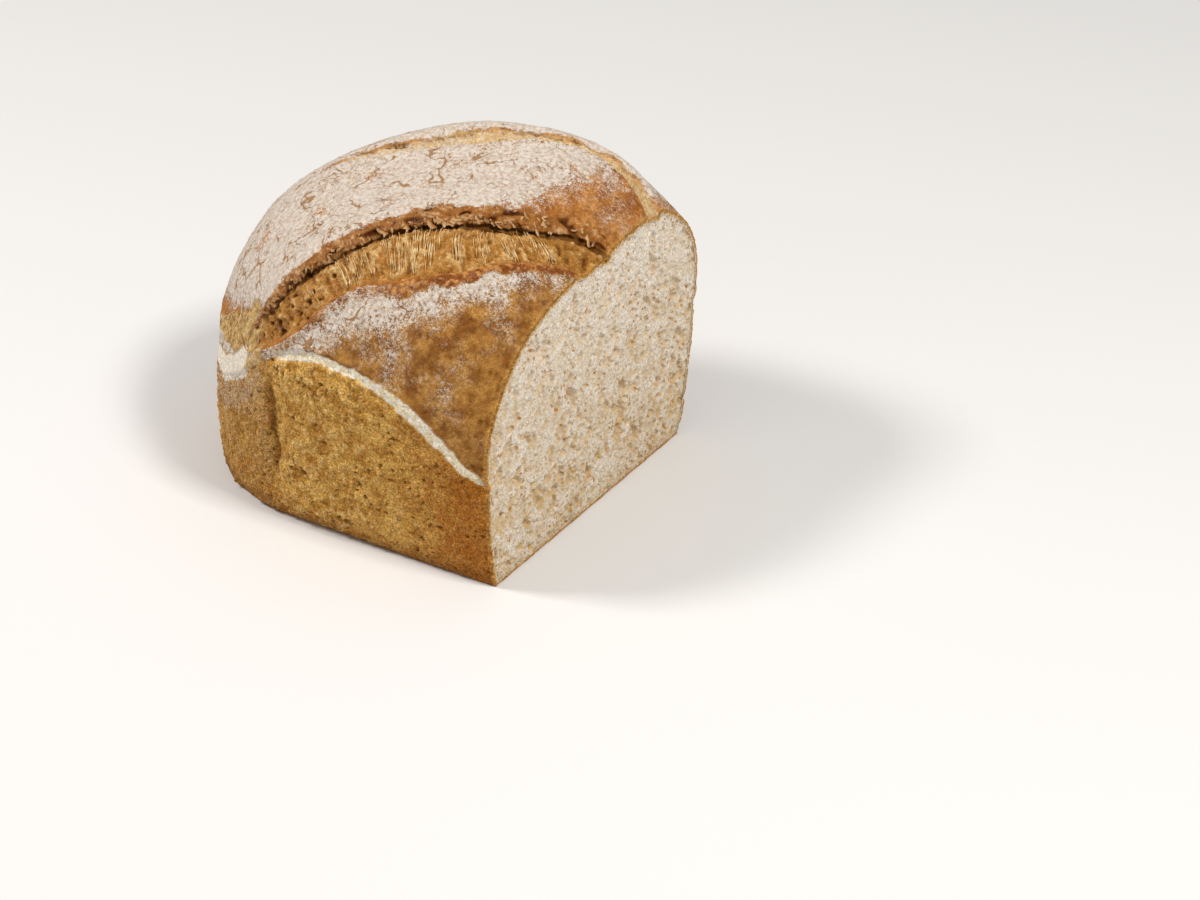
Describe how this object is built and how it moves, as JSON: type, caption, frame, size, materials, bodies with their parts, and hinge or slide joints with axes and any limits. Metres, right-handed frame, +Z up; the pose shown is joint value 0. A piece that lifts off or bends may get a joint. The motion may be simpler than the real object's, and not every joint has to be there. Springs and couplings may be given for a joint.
{
  "type": "loaf of bread",
  "caption": "Cut farmhouse tin loaf of brown bread: flat base, tapered tin-baked sides, floured domed crust torn open along slashes, flat cut face of open crumb.",
  "frame": {"origin": "on the flat base, under the middle of the loaf's box", "axes": "+X along the loaf, out of the cut face; +Y from the near side of the picture to the far side; +Z up from the base"},
  "size_m": [0.164, 0.146, 0.1319],
  "materials": {
    "bread": "matt baked crust, floured on top, pale open crumb on the cut face"
  },
  "bodies": {
    "root": {"loaf": "bread"}
  },
  "joints": []
}
